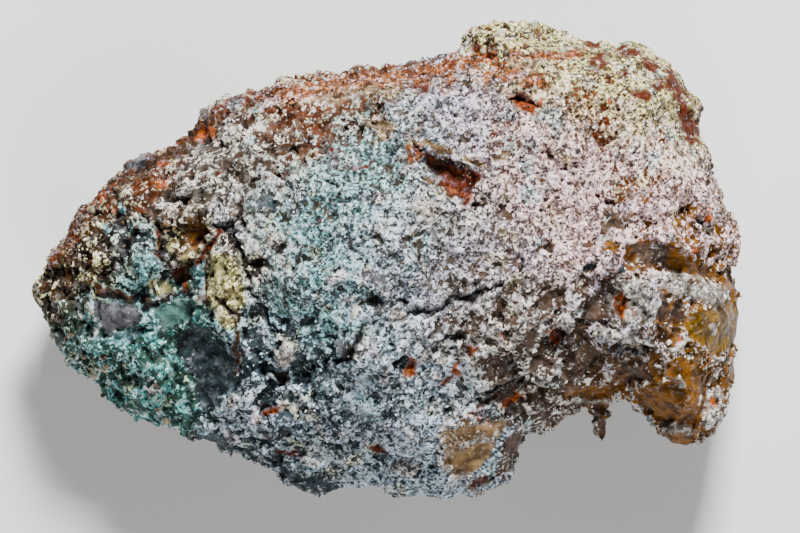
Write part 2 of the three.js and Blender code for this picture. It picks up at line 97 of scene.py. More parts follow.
# Noise: how far apart its lumps or grains lie, its layers where it has more than one, its seed.
NOISE = {
    "lumps": (3.4, 3, 11), "ridges": (1.9, 2, 21), "swells": (3.6, 2, 44), "borders": (0.9, 3, 61),
    "crystals": (6, 2, 81), "beads": (3, 2, 91), "chips": (2.9, 25), "splinters": (1.5, 28),
    "granules": (1.05, 31), "swings": (1.3, 51), "ripples": (0.55, 53), "patches": (2.6, 55),
}
# Beds of pits: how far apart the pits lie, the share of places without one, and a seed.
PIT_BEDS = ((2.6, 0.45, 35), (1.3, 0.5, 39))
# Heights between which each thing sets in, from none of it to all. The stone rests flat below
# the first height of its relief.
LEVELS = {"relief": (0.4, 2.5), "marks": (7, 12), "tints": (4, 14), "crystals": (8, 16), "beads": (8, 14)}
# How far the lowest sides fade from their tints, and patches of crust lean to another tint.
FADE = 0.7
LEAN = 0.55
# How much wider the broad tints wander than the borders of the marks.
TINT_WANDER = 3.5
# How ragged the border of each form of mark is, and the measures between which it fades.
BORDERS = {"ovals": (0.5, 0.72, 1.12), "lines": (0.45, 0.6, 1.15), "areas": (0.35, -0.15, 0.3)}
# How strongly marks of stain reach the glass below them, and how bright they are there.
BELOW = (0.75, 0.5)
# Small forms joined into one piece: a seed, how their sizes spread, how far each is stretched, and
# how far its middle stands out of the stone, in sizes.
SMALL = {
    "crystals": {"seed": 82, "spread": 0.35, "stretch": (0.6, 1.4), "out": 0.15},
    "beads": {"seed": 92, "spread": 0.3, "stretch": (0.85, 1.15), "out": -0.25},
}

# The stage, in metres: each light's place and width, what they point at, and how near and far
# the camera sees.
KEY = {"place": (0.08, 0.44, 0.46), "size": 0.15}
FILL = {"place": (0.15, -0.5, 0.45), "size": 0.4}
AIM = (0, 0, 0.02)
CLIP = (0.01, 10)


def unit(value):
    """A value held between 0 and 1."""
    return np.clip(value, 0, 1)


def ramp(value, low, high):
    """0 below low, 1 above high, and smooth between them."""
    share = unit((value - low) / (high - low))
    return share * share * (3 - 2 * share)


def hashed(whole, seed):
    """A repeatable number from 0 to 1 for each row of three whole numbers."""
    x, y, z = whole[..., 0], whole[..., 1], whole[..., 2]
    mixed = (x * 73856093) ^ (y * 19349663) ^ (z * 83492791) ^ (seed * 2654435761)
    mixed &= 0xFFFFFFFF
    for _ in range(2):
        mixed = ((mixed ^ (mixed >> 16)) * 73244475) & 0xFFFFFFFF
    return (mixed ^ (mixed >> 16)) / 0xFFFFFFFF


def soft_noise(places, size, seed):
    """Smooth noise from -1 to 1 whose lumps are about size apart."""
    scaled = places / size
    whole = np.floor(scaled).astype(np.int64)
    part = scaled - whole
    part = part * part * (3 - 2 * part)
    total = np.zeros(len(places))
    for corner in np.ndindex(2, 2, 2):
        step = np.array(corner)
        weight = np.prod(np.where(step == 1, part, 1 - part), axis=1)
        total += weight * hashed(whole + step, seed)
    return total * 2 - 1


def layered(places, size, layers, seed, keep=0.5):
    """Soft noise in layers, each half the size of the one before and keep times as strong."""
    total = np.zeros(len(places))
    strength = 1.0
    for layer in range(layers):
        total += strength * soft_noise(places, size / 2**layer, seed + layer)
        strength *= keep
    return total


def grains(places, size, seed):
    """Scattered centres about size apart: the way to the nearest, the gap to the next, its number."""
    scaled = places / size
    whole = np.floor(scaled).astype(np.int64)
    nearest = np.full(len(places), FAR)
    second = np.full(len(places), FAR)
    own = np.zeros(len(places))
    way = np.zeros((len(places), 3))
    for corner in np.ndindex(3, 3, 3):
        cell = whole + np.array(corner) - 1
        centre = cell + np.stack([hashed(cell, seed + axis) for axis in range(3)], axis=1)
        step = scaled - centre
        away = np.linalg.norm(step, axis=1)
        closer = away < nearest
        second = np.where(closer, nearest, np.minimum(second, away))
        own = np.where(closer, hashed(cell, seed + 3), own)
        way = np.where(closer[:, None], step, way)
        nearest = np.where(closer, away, nearest)
    return nearest, second - nearest, own, way


def chips(places, size, seed):
    """Broken rock from -1 to 1: flat breaks about size across, each at its own level and slant."""
    _, _, own, way = grains(places, size, seed)
    angle = own * 61
    slant = way[:, 0] * np.cos(angle) + way[:, 1] * np.sin(angle) + way[:, 2] * np.sin(2 * angle)
    return np.clip(slant + own - 0.5, -1, 1)


def oval(spot, place):
    """How far out a place lies in a turned oval: 0 in its middle, 1 on its rim."""
    x, y, length, width, turn = spot
    angle = math.radians(turn)
    across = place - np.array([x, y])
    u = across[:, 0] * math.cos(angle) + across[:, 1] * math.sin(angle)
    v = across[:, 1] * math.cos(angle) - across[:, 0] * math.sin(angle)
    return np.hypot(u / length, v / width)


def beside(points, place):
    """The distance from each place to a line through points."""
    distance = np.full(len(place), FAR)
    for start, end in zip(points[:-1], points[1:]):
        start = np.array(start, float)
        along = np.array(end, float) - start
        share = unit(((place - start) @ along) / (along @ along))
        away = place - start - share[:, None] * along
        distance = np.minimum(distance, np.hypot(away[:, 0], away[:, 1]))
    return distance


def within(points, place):
    """How far inside a closed outline a place is, negative outside."""
    odd = np.zeros(len(place), bool)
    closed = list(points) + [points[0]]
    for (ax, ay), (bx, by) in zip(closed[:-1], closed[1:]):
        if ay == by:
            continue
        spans = (ay > place[:, 1]) != (by > place[:, 1])
        odd ^= spans & (place[:, 0] < (bx - ax) * (place[:, 1] - ay) / (by - ay) + ax)
    distance = beside(closed, place)
    return np.where(odd, distance, -distance)


# Marks of the upper face, painted in this order. An oval is x, y, half length, half width, turn;
# a line is its half width and its points; an area is its outline.
MARKS = {
    "russet": {
        "lines": [
            (1.3, [(-42.6, -0.2), (-40.9, 2.9), (-38.6, 5.7), (-36.1, 8.2), (-33, 10.7), (-29.8, 12.6)]),
            (1.1, [(-26.1, 15.1), (-23, 17.3), (-19.8, 19.5), (-14.8, 21.1), (-8.6, 22), (-2.3, 22)]),
        ],
    },
    "sand": {
        "ovals": [(16, 24, 3.8, 1.6, 0), (-1, 17, 1.6, 2.4, 20), (3, 14.5, 1.2, 1.8, 0)],
        "lines": [(0.8, [(-8.6, 20), (-4, 21), (1, 21.5)])],
    },
    "peach": {
        "ovals": [(12.5, 25.4, 1.6, 1.3, 0), (14, 23.3, 2.8, 1.3, 10), (7.6, 22.4, 1.2, 1.4, 0),
                  (4, 22.4, 2, 1, -10), (18.2, 22.1, 1.8, 1, 0), (3, 13.6, 1.3, 1, 0)],
        "lines": [(1.3, [(-13, 20.6), (-4.8, 22.6), (1.4, 23.2), (7.7, 24.6), (11.4, 25.8)]),
                  (0.7, [(15, 25.5), (19.5, 25.8), (24.5, 26)])],
    },
    "lilac": {"ovals": [(-1.6, -2.2, 2, 1, -10)]},
    "cream": {
        "ovals": [(-29, -3.2, 1.5, 1, -8), (-25.2, 0.6, 1.2, 0.5, 10), (-27.3, 1.6, 0.6, 1, 0)],
        "areas": [[(-22.5, 0.7), (-20.7, 1.3), (-19.2, 0.4), (-18.3, -1.8), (-17.6, -4), (-18.7, -7.6),
                   (-19.6, -8.5), (-21.2, -7.6), (-22.3, -5.1)]],
    },
    "aqua": {
        "ovals": [(-33.4, 6.5, 0.6, 0.9, 0), (-35.2, 4.3, 0.6, 0.5, 0), (-30.6, -1.6, 1.5, 1.5, 0),
                  (-24.3, 1.6, 0.7, 0.4, 20)],
        "lines": [(0.3, [(-37.7, -4.5), (-37.3, -6.2), (-38.1, -7.6), (-38.4, -9.4)]),
                  (0.25, [(-31.6, -5.4), (-29.8, -6.4), (-28.6, -8.8)]),
                  (0.4, [(-36, -10.2), (-32.8, -9.6), (-30.6, -9)])],
        "areas": [[(-24.7, -0.4), (-23, 0.2), (-23.1, -1.8), (-22.9, -4), (-24.1, -3.3), (-24.9, -1.8)]],
    },
    "umber": {
        "ovals": [(-24.4, 0, 0.8, 0.35, 15)],
        "lines": [
            (0.4, [(-20.5, -5.3), (-19.2, -7.8), (-18.8, -10.9), (-18.8, -14.2)]),
            (0.3, [(-22.9, 0.5), (-22.7, -3.1), (-22.5, -7.1)]),
            (0.45, [(-37.2, -2.9), (-34.5, -3.9), (-32, -4.5), (-30.5, -4.8)]),
            (0.9, [(-23, 16), (-26, 14), (-30, 12.2), (-34, 9.5)]),
            (0.4, [(10.8, -18.6), (13, -17.2), (15, -16.2)]),
        ],
    },
    "teal": {
        "areas": [[(-30.6, -5.8), (-28.8, -5.8), (-26.5, -5.1), (-24.1, -4.2), (-23.9, -6.2), (-25.2, -7.6),
                   (-27, -8.2), (-28.3, -8.9), (-29.4, -6.9)]],
    },
    "tan": {
        "ovals": [(-27.6, 4, 1.1, 0.7, -20), (14.2, 12.8, 1.5, 0.6, 35), (4.9, 10, 0.8, 0.6, 30)],
        "lines": [(0.4, [(3.4, 15.1), (6.4, 13.6), (8.9, 12.9), (11.9, 11.4)])],
        "areas": [[(6.2, -21.5), (9.8, -19.5), (14.8, -19.8), (14.8, -20.8), (12.9, -23.7), (11.7, -25.8),
                   (10.3, -27), (8.5, -27.4), (6.8, -26.8), (6.7, -23.9)]],
    },
    "slate": {
        "ovals": [(-10, -28.4, 4.5, 1.6, -12), (-22, -23.1, 3, 1, -18), (-15.3, 7.3, 1.2, 1.1, 0),
                  (29, -1.1, 0.8, 0.5, 0), (25, -0.4, 0.8, 0.6, 20)],
        "areas": [[(-26.6, -9), (-24.1, -7.8), (-21.2, -9.9), (-19.1, -11.9), (-18.7, -13.7), (-20, -16.5),
                   (-22.7, -18.5), (-24.1, -17.9), (-24.7, -15.4), (-26.2, -12.4)]],
    },
    "mauve": {
        "ovals": [(-5.6, -11, 1.1, 1.7, 0), (-21.6, 4.2, 1, 0.5, -15), (-32, 12.6, 1.6, 1, 30),
                  (-19.3, 19.7, 0.8, 0.9, 0), (-1.6, -2, 1.6, 0.7, -12), (31.4, -4.9, 1.2, 1.8, 10)],
        "areas": [[(-37, -4.3), (-34.8, -4.9), (-32.3, -5.8), (-30.6, -6.4), (-31.4, -7.8), (-32.8, -8.7),
                   (-34.8, -9.1), (-36.4, -7.6), (-37.4, -5.8)]],
    },
    "smoke": {
        "ovals": [(24.2, -12.4, 1.8, 2.2, 0), (15.4, -24.3, 1.6, 3.2, -20), (27.9, 4.9, 2.3, 1.3, 10),
                  (19.5, -4.9, 0.9, 1.8, -20), (25, -5.9, 1.5, 1.6, -10), (34.2, -5.8, 0.8, 1.8, -10),
                  (36, -6.3, 1, 1.2, 0), (17.5, -9.5, 0.8, 1.6, -20), (30.5, -14, 2.4, 1, -20)],
        "lines": [(0.35, [(-21.2, -4.7), (-20, -6.2), (-18.5, -7.4)]),
                  (0.9, [(26.3, -18.4), (27.2, -21), (27.3, -23.4)])],
        "areas": [[(30.3, 2), (32.9, 2.7), (34.2, 2.4), (35, 0.8), (34.6, -0.8), (31.9, -0.3), (30.3, 0.8)]],
    },
    "amber": {
        "ovals": [(26.2, -17.6, 1.6, 1.5, 10), (27.3, 1.6, 1.3, 0.7, 25), (43.6, -3.6, 1, 1.4, 0),
                  (-24, 3.2, 1.5, 1.9, 0)],
        "lines": [(0.7, [(22.9, -16.5), (25.2, -16.6), (28.6, -16.5)])],
        "areas": [
            [(34.4, 2.9), (35.3, 3.6), (36.2, 1.8), (37.2, 0.8), (39.4, -0.7), (41.5, -1.4), (43.7, -2.3),
             (44.6, -2.9), (44.6, -4.2), (42, -4), (41.1, -2.3), (39, -2), (36, -1.6), (34.4, -0.8)],
            [(33.8, -13), (36.8, -11.9), (39.4, -13), (39.8, -15.2), (39.4, -17.3), (39.2, -19.5),
             (38.5, -23), (35.5, -23.5), (34.2, -20.5), (31.9, -18.4), (30.3, -16.2), (32.9, -15.8),
             (35.1, -15.2)],
            [(42.2, -12.4), (44.2, -12.4), (44.4, -15.2), (42.4, -16)],
        ],
    },
    "olive": {
        "areas": [[(36.8, -7.4), (41.5, -5.3), (44.8, -4.4), (44.8, -10.7), (41.5, -11.5), (40, -12.2),
                   (39.4, -10.9), (37, -8.7)]],
    },
    "bone": {
        "ovals": [(41, -18.6, 1.4, 2.4, -15), (36.6, -21.2, 2.4, 0.7, -15), (-13.2, -12, 1.3, 2, 0),
                  (30.2, -5.2, 3.1, 3, 0), (40.6, -8.2, 0.6, 0.9, 0)],
        "lines": [
            (0.3, [(23.5, -17.5), (25.4, -17.9), (27.5, -17.7)]),
            (0.4, [(43.2, -12.9), (40.9, -13.9), (40.3, -15.4)]),
            (1.4, [(34.5, -2.7), (37.7, -3.4), (39.6, -4.2), (41.3, -4.6)]),
            (0.7, [(26.9, -9), (29.5, -9.9), (32.7, -10.4)]),
            (0.25, [(32.9, -10.2), (34.6, -10.8), (36, -11.6)]),
            (0.25, [(34.3, -13.2), (35.5, -14.6), (37, -15.8)]),
            (0.36, [(6.3, -21.6), (8.5, -20.2), (9.9, -19.5), (12, -19.9), (14.8, -19.8)]),
            (0.36, [(6.3, -21.6), (6.8, -24), (6.8, -26.6), (8.5, -27.4), (10.2, -27)]),
            (0.3, [(9, -23.6), (10.6, -22.4), (12, -22.2), (13.6, -21.2)]),
        ],
    },
    "maroon": {
        "ovals": [
            (30.2, 26.2, 2.3, 1.2, -8), (32.9, 24.5, 1.8, 1.1, -25), (26.2, 25.2, 1.2, 1.2, 0),
            (25.7, 27.5, 1.2, 0.8, -5), (33.8, 21.9, 1, 0.7, 0), (31.5, 20.8, 1.6, 0.9, 0),
            (29.2, 23.3, 0.5, 0.5, 0), (11.2, 26.7, 0.9, 0.8, 0), (8, 24.6, 0.9, 0.7, 0),
            (36.1, 21, 1.1, 1.6, 15), (37.7, 16.3, 1.5, 1.1, -20), (37, 18.6, 1.2, 1.4, 15),
            (2.4, 24.2, 1.3, 0.6, -20), (3.9, 21.8, 0.8, 0.5, -10), (3.9, 17, 0.6, 0.4, 0),
            (-26.4, -1.9, 1.7, 1.1, 8), (-13, -24.2, 1.9, 0.6, -8), (11.4, -27.9, 1.5, 0.6, 20),
            (-20.6, 3.7, 1.1, 0.5, 0), (-1.5, -23.7, 1.4, 0.6, -15), (10.3, -10.9, 1, 0.6, 0),
            (-20.8, 11, 0.5, 0.35, 10), (-17, 4.5, 0.3, 0.3, 0),
        ],
        "lines": [
            (1.35, [(35.5, 23.1), (36.3, 21.3), (37, 19.5), (37.6, 17.5), (38.2, 15.6)]),
            (0.35, [(-8.1, 15.6), (-7.4, 14), (-6.3, 12.6)]),
            (0.3, [(-5.5, 11.6), (-3.6, 12), (-1.7, 12.3)]),
            (0.4, [(-28.9, 4.5), (-28.7, 2.9), (-29.4, 1.3), (-28.3, -0.3), (-27, -0.9), (-25.2, -0.8),
                   (-23.6, 0.1), (-22.5, 1.3), (-21.5, 2.4), (-20.8, 3.4)]),
        ],
        "areas": [[(3, 14.1), (4.9, 11.9), (5.9, 9.4), (8, 8.2), (9.7, 6.9), (10.5, 7.9), (12, 10.5),
                   (10.2, 11.4), (7.7, 12.4), (5.2, 13.2)]],
    },
    "rust": {
        "ovals": [
            (-24.6, 2.4, 0.9, 0.4, 20), (-28.4, 1.8, 0.4, 0.9, 10), (-22.2, 2, 0.5, 0.3, 30),
            (-14.6, -18.9, 1.3, 0.8, 10), (-28, 12.3, 1.3, 0.5, 15), (-19.5, 11.7, 0.5, 0.25, -20),
            (-22.8, 10.3, 0.3, 0.35, 0), (-15.6, 10.2, 0.4, 0.3, -30), (-19, 9, 0.2, 0.4, 0),
            (-20.7, 7.9, 0.25, 0.5, 0),
            (-19.4, 5.9, 0.6, 0.2, -25), (-18.4, 4.9, 0.3, 0.25, -30), (-34.8, 9.3, 0.5, 0.4, 40),
            (27.3, 20.3, 0.5, 0.5, 0), (10.3, -11.5, 0.5, 0.5, 0), (-25.4, -2.6, 1.1, 0.6, 10),
        ],
        "lines": [
            (0.5, [(4.9, 13.2), (6.6, 11.8), (8.6, 11), (10.2, 10.8)]),
            (0.6, [(7.4, 9.1), (8.8, 8.4), (10, 8.3)]),
            (0.25, [(18.6, -16.9), (19.6, -17.7)]), (0.4, [(8.6, -13), (7.8, -14), (7, -15.3)]),
            (0.2, [(9.9, -19.1), (11.5, -19.5), (13.6, -19.5)]),
        ],
        "areas": [[(14.8, 20.9), (16.9, 20.5), (18.1, 20), (19.3, 20.5), (18.8, 18.4), (17.5, 17.9),
                   (15.6, 19.2)]],
    },
    "ember": {
        "ovals": [
            (2.7, -13.4, 1.2, 1.1, -30), (15.4, -17.3, 1.2, 0.9, 25), (20.8, -9.5, 0.8, 1, 0),
            (29.2, -5.7, 1.3, 1.5, 0), (38.3, 1.1, 0.7, 0.6, 0), (36.5, -10, 0.7, 0.5, 20),
            (-23, 16, 1.1, 1.1, 40), (-36.1, 7.8, 0.8, 0.7, 30), (-34.6, 6.5, 0.6, 0.9, 20),
            (40.3, 6.1, 0.6, 0.9, 0), (12.3, 25.2, 0.9, 0.9, 0), (23.2, 25.8, 1.4, 0.4, -5),
            (-39.8, 2.6, 0.5, 0.9, 0), (-28.6, 9.6, 0.8, 0.7, 0), (14.4, -9.2, 0.5, 0.5, 0),
            (41, -18, 0.4, 0.7, 0),
        ],
    },
    # Painted shade: near-black shadow under the crest and the lip, in the cracks and round the pockets, set
    # in grooves that are also carved in.
    "painted_shade": {
        "ovals": [
            (-13.7, -14.5, 2.2, 0.9, -25), (29.9, -11.3, 2.2, 0.7, -5), (11.3, 7, 0.9, 0.22, -5),
            (-5.3, 7.8, 1.3, 0.18, 0), (-7.3, 9.6, 1.2, 0.16, -20), (-1.6, 9, 0.4, 0.3, 0),
            (27.5, 7.1, 0.5, 0.3, -40), (17, 3.9, 0.7, 0.3, -40), (3.7, 3, 0.8, 0.25, 30),
            (39, 4.7, 0.7, 0.7, 0), (28.4, 18.8, 0.3, 0.3, 0), (20.5, 18.8, 0.3, 0.35, 0),
            (22.5, 23.8, 0.3, 0.3, 0),
        ],
        "lines": [
            (0.16, [(3, 14.5), (4.1, 13.7), (5.8, 12.9), (7.2, 12.4), (8.4, 11.8), (10.2, 10.9)]),
            (0.55, [(-6.7, -12.7), (-4.8, -12.2), (-4.1, -9.9), (-3.6, -8), (-1.1, -7.7), (2.7, -6.7),
                    (6.8, -5.9), (7.4, -4.5), (10.5, -4.7), (13.5, -2.9)]),
            (0.5, [(-37, -3.6), (-35, -4.4), (-32.3, -5.1), (-30.5, -5.5), (-28.8, -5.1), (-27, -4.5),
                    (-25, -4), (-24, -3.4)]),
            (0.5, [(-31, -5.6), (-28.9, -5.4), (-27.2, -4.8)]),
            (0.4, [(12, -16.6), (14.2, -15.6), (16.5, -15)]), (0.3, [(14.3, -14.4), (15.5, -12)]),
            (0.18, [(14.9, 20.3), (16.4, 20.1), (18.2, 19.4)]),
            (0.38, [(-20.5, 4.6), (-19.6, 3.6), (-18.6, 1.8), (-17.9, -0.4), (-17, -2.8), (-16.2, -4.6)]),
            (0.25, [(-30.8, 5.7), (-29.2, 4.3), (-28.3, 3.4), (-26.8, 3.1), (-25.4, 3.5)]),
        ],
    },
}

# Which marks are smooth glass instead of crust, and how deep each kind lies.
GLASSY = ("teal", "tan", "slate", "mauve", "smoke", "amber", "olive")
DEPTHS = {
    "tan": 0.15, "slate": 0.3, "teal": 0.3, "mauve": 0.1, "smoke": 0.3, "amber": 0.25, "olive": 0.1,
    "bone": -0.25, "umber": 0.3, "maroon": 0.25, "rust": 0.35, "ember": 0.2, "painted_shade": 0.8,
}

# How far each kind of mark that isn't glass hides the speckle of the crust.
PLAIN = {
    "rust": 0.6, "ember": 0.5, "maroon": 0.75, "painted_shade": 1, "umber": 0.7, "peach": 0.2,
    "russet": 0.3, "aqua": 0.3,
}

# Rounds of averaging after which near hollows and then wide ones are read.
ROUNDS = (5, 60)

# A loose crystal of the crust: the corners and faces of two square pyramids, base to base.
GRAIN_CORNERS = [(1, 0, 0), (-1, 0, 0), (0, 1, 0), (0, -1, 0), (0, 0, 1), (0, 0, -1)]
GRAIN_FACES = [(0, 2, 4), (2, 1, 4), (1, 3, 4), (3, 0, 4), (2, 0, 5), (1, 2, 5), (3, 1, 5), (0, 3, 5)]

# Where drusy beads stand thick along the rim: place and spread.
BEAD_BEDS = [
    (-43, -3, 3), (-41, 3, 3), (-38, 7, 3), (-34, 10, 2.5), (-41, -9, 3), (-37, -14, 3), (-30, -18, 2.5),
    (15, 27, 3), (18, 28, 2), (12, 27.5, 2), (40, 17, 2), (41, 10, 2), (42, 5, 2), (-33, 5, 2.5),
]


def tint(label, description, colour):
    return FloatVectorProperty(
        name=label, description=description, default=colour, subtype="COLOR", size=3, min=0, max=1
    )


def length(label, description, millimetres):
    return FloatProperty(
        name=label, description=description, default=millimetres * MM, unit="LENGTH", min=0, precision=5
    )


class AgateColours(PropertyGroup):
    bone: tint("Bone", "Pale crust", (0.64, 0.6, 0.53))
    aqua: tint("Aqua", "Pale blue-green crust of the plateau", (0.26, 0.6, 0.63))
    blue_grey: tint("Blue grey", "Cool grey crust", (0.5, 0.66, 0.78))
    lilac: tint("Lilac", "Lavender crust", (0.47, 0.43, 0.55))
    blush: tint("Blush", "Pinkish pale crust", (0.95, 0.63, 0.6))
    cream: tint("Cream", "Yellow-green pale crust", (0.8, 0.7, 0.27))
    sand: tint("Sand", "Warm pale crust of the back edge", (0.54, 0.36, 0.2))
    verdigris: tint("Verdigris", "Green-blue crust of the pointed end", (0.11, 0.5, 0.48))
    slate: tint("Slate", "Dark blue-grey of the deep breaks", (0.04, 0.06, 0.07))
    teal: tint("Teal", "Green-blue glass of the pointed end", (0.07, 0.16, 0.14))
    gloom: tint("Gloom", "Dark grey glass of the plateau", (0.07, 0.055, 0.04))
    moss: tint("Moss", "Dark green glass of the pointed end", (0.03, 0.08, 0.06))
    russet: tint("Russet", "Red-brown glass of the back edge", (0.12, 0.028, 0.005))
    umber: tint("Umber", "Brown glass of the rim and of the old pockets", (0.045, 0.016, 0.003))
    smoke: tint("Smoke", "Brown-grey glass", (0.09, 0.055, 0.037))
    mauve: tint("Mauve", "Purple-grey glass", (0.12, 0.12, 0.135))
    amber: tint("Amber", "Amber glass of the blunt end", (0.18, 0.068, 0.006))
    olive: tint("Olive", "Olive-gold glass of the blunt end", (0.17, 0.085, 0.004))
    tan: tint("Tan", "Tan glass", (0.3, 0.18, 0.08))
    peach: tint("Peach", "Orange stain along the back edge", (0.34, 0.1, 0.025))
    rust: tint("Rust", "Deep rust of the pockets", (0.26, 0.045, 0.003))
    ember: tint("Ember", "Bright rust of the small pits", (0.5, 0.1, 0.008))
    maroon: tint("Maroon", "Dark rust", (0.085, 0.014, 0.002))
    # Near-black painted shade, for the shadow in the cracks, under the ledges and in the small pits.
    painted_shade: tint("Hollow", "Depth of the cracks", (0.005, 0.004, 0.004))
    chalk: tint("Chalk", "White crystals of the crust", (0.88, 0.88, 0.9))
    bead: tint("Bead", "Pale yellow drusy beads", (0.62, 0.56, 0.36))


class AgateSizes(PropertyGroup):
    voxel: length("Voxel", "Grain of the body's mesh", 0.27)
    lumps: length("Lumps", "Height of the crust's lumps", 0.42)
    chips: length("Chips", "Height of the broken rock's chips", 0.6)
    pits: length("Pits", "Depth of the crust's pits", 0.4)
    granules: length("Granules", "Height of the crust's granules", 0.12)
    wander: length("Wander", "How far the marks' borders wander", 0.55)
    grain: length("Grain", "Half width of a usual loose crystal", 0.17)
    bead: length("Bead", "Radius of a usual bead", 0.32)
    smoothing: IntProperty(name="Smoothing", description="Rounds of smoothing", default=10, min=0)
    grain_count: IntProperty(name="Crystals", description="Loose crystals", default=1500, min=0)
    bead_count: IntProperty(name="Beads", description="Drusy beads", default=350, min=0)


class AgateStage(PropertyGroup):
    floor: FloatProperty(
        name="Floor", description="Side of the floor", default=3, unit="LENGTH", min=0.1
    )
    floor_colour: tint("Floor colour", "Pale floor", (0.75, 0.75, 0.74))
    key: FloatProperty(name="Key light", description="Power of the large soft light", default=12.4, min=0)
    fill: FloatProperty(name="Fill light", description="Power of the second light", default=3.4, min=0)
    sky: FloatProperty(name="Sky", description="Strength of the light all round", default=0.12, min=0)


BLACK = (0.0, 0.0, 0.0)
MIDDLE = (0.5, 0.5, 0.5)


class Socket:
    """A shader value that Python's own operators work on, each adding its Math node."""

    def __init__(self, tree, output):
        self.tree = tree
        self.output = output

    def maths(self, operation, *values):
        return self.tree.node("ShaderNodeMath", {"operation": operation}, dict(enumerate(values)))

    def __add__(self, other):
        return self.maths("ADD", self, other)

    def __sub__(self, other):
        return self.maths("SUBTRACT", self, other)

    def __rsub__(self, other):
        return self.maths("SUBTRACT", other, self)

    def __mul__(self, other):
        return self.maths("MULTIPLY", self, other)

    __radd__ = __add__
    __rmul__ = __mul__

    def ramp(self, low, high):
        """0 below low, 1 above high, and smooth between them."""
        values = {"Value": self, "From Min": low, "From Max": high}
        return self.tree.node("ShaderNodeMapRange", {"interpolation_type": "SMOOTHSTEP"}, values)


class Shader:
    """A material's tree of nodes."""

    def __init__(self, name):
        self.material = bpy.data.materials.new(name)
        self.material.use_nodes = True
        self.tree = self.material.node_tree
        self.tree.nodes.clear()

    def node(self, kind, settings=None, values=None, output=0):
        """Adds a node, sets it, fills or links its sockets and gives one of its outputs."""
        made = self.tree.nodes.new(kind)
        for key, value in (settings or {}).items():
            setattr(made, key, value)
        for key, value in (values or {}).items():
            if isinstance(value, Socket):
                self.tree.links.new(value.output, made.inputs[key])
            else:
                made.inputs[key].default_value = value
        return Socket(self, made.outputs[output]) if made.outputs else None

    def mix(self, factor, first, second):
        """One colour blended over another."""
        settings = {"data_type": "RGBA", "clamp_factor": True}
        values = {0: factor, 6: solid(first), 7: solid(second)}
        return self.node("ShaderNodeMix", settings, values, output=2)

    def attribute(self, name, output=2):
        return self.node("ShaderNodeAttribute", {"attribute_name": name}, output=output)

    def place(self):
        """The place on the piece, in millimetres."""
        here = self.node("ShaderNodeTexCoord", output=3)
        return self.node("ShaderNodeVectorMath", {"operation": "SCALE"}, {0: here, "Scale": 1 / MM})

    def noise(self, place, per_mm, detail=3, roughness=0.6, twist=0):
        values = {"Vector": place, "Scale": per_mm, "Detail": detail, "Roughness": roughness}
        return self.node("ShaderNodeTexNoise", values={**values, "Distortion": twist})

    def warped(self, place, per_mm, reach):
        """The place pushed about by noise, up to half of reach in millimetres."""
        values = {"Vector": place, "Scale": per_mm, "Detail": 2}
        push = self.node("ShaderNodeTexNoise", values=values, output=1)
        centred = self.node("ShaderNodeVectorMath", {"operation": "SUBTRACT"}, {0: push, 1: MIDDLE})
        scaled = self.node("ShaderNodeVectorMath", {"operation": "SCALE"}, {0: centred, "Scale": reach})
        return self.node("ShaderNodeVectorMath", {"operation": "ADD"}, {0: place, 1: scaled})

    def cells(self, place, per_mm, output=0):
        return self.node("ShaderNodeTexVoronoi", values={"Vector": place, "Scale": per_mm}, output=output)

    def bump(self, height, distance, strength=1.0):
        values = {"Height": height, "Distance": distance * MM, "Strength": strength}
        return self.node("ShaderNodeBump", values=values)

    def finish(self, surface):
        self.node("ShaderNodeOutputMaterial", values={"Surface": surface})
        return self.material


def solid(colour):
    """A colour with the fourth number that a colour socket takes."""
    return colour if isinstance(colour, Socket) else (*colour, 1)


def border(form, measure, blur):
    """A ragged fade from 0 to 1 over the border of a mark, by a measure of where a place lies."""
    ragged, start, end = BORDERS[form]
    return ramp(measure + ragged * blur, start, end)


def mask_of(kind, place, blur):
    """How strongly each place carries a kind of mark, from 0 to 1."""
    marks = MARKS[kind]
    found = np.zeros(len(place))
    for spot in marks.get("ovals", ()):
        found = np.maximum(found, 1 - border("ovals", oval(spot, place), blur))
    for width, points in marks.get("lines", ()):
        found = np.maximum(found, 1 - border("lines", beside(points, place) / width, blur))
    for points in marks.get("areas", ()):
        found = np.maximum(found, border("areas", within(points, place), blur))
    return found


def broad_tints(place, colours):
    """The colours of the crust and of the glass under it, and how much the crust covers."""
    weights = np.zeros(len(place))
    crust = np.zeros((len(place), 3))
    glass = np.zeros((len(place), 3))
    cover = np.zeros(len(place))
    for x, y, spread, over, under, share in TINTS:
        gap = np.hypot(place[:, 0] - x, place[:, 1] - y)
        weight = np.exp(-((gap / spread) ** 2)) + 1e-6
        weights += weight
        crust += weight[:, None] * np.array(getattr(colours, over))
        glass += weight[:, None] * np.array(getattr(colours, under))
        cover += weight * share
    return crust / weights[:, None], glass / weights[:, None], cover / weights


def read_places(mesh):
    places = np.empty(len(mesh.vertices) * 3)
    mesh.vertices.foreach_get("co", places)
    normals = np.empty(len(mesh.vertices) * 3)
    mesh.vertex_normals.foreach_get("vector", normals)
    return places.reshape(-1, 3) / MM, normals.reshape(-1, 3)


def swing(places, size, seed):
    """Two soft noises side by side, which push a place about on the face."""
    return np.stack([soft_noise(places, size, seed), soft_noise(places, size, seed + 1)], axis=1)


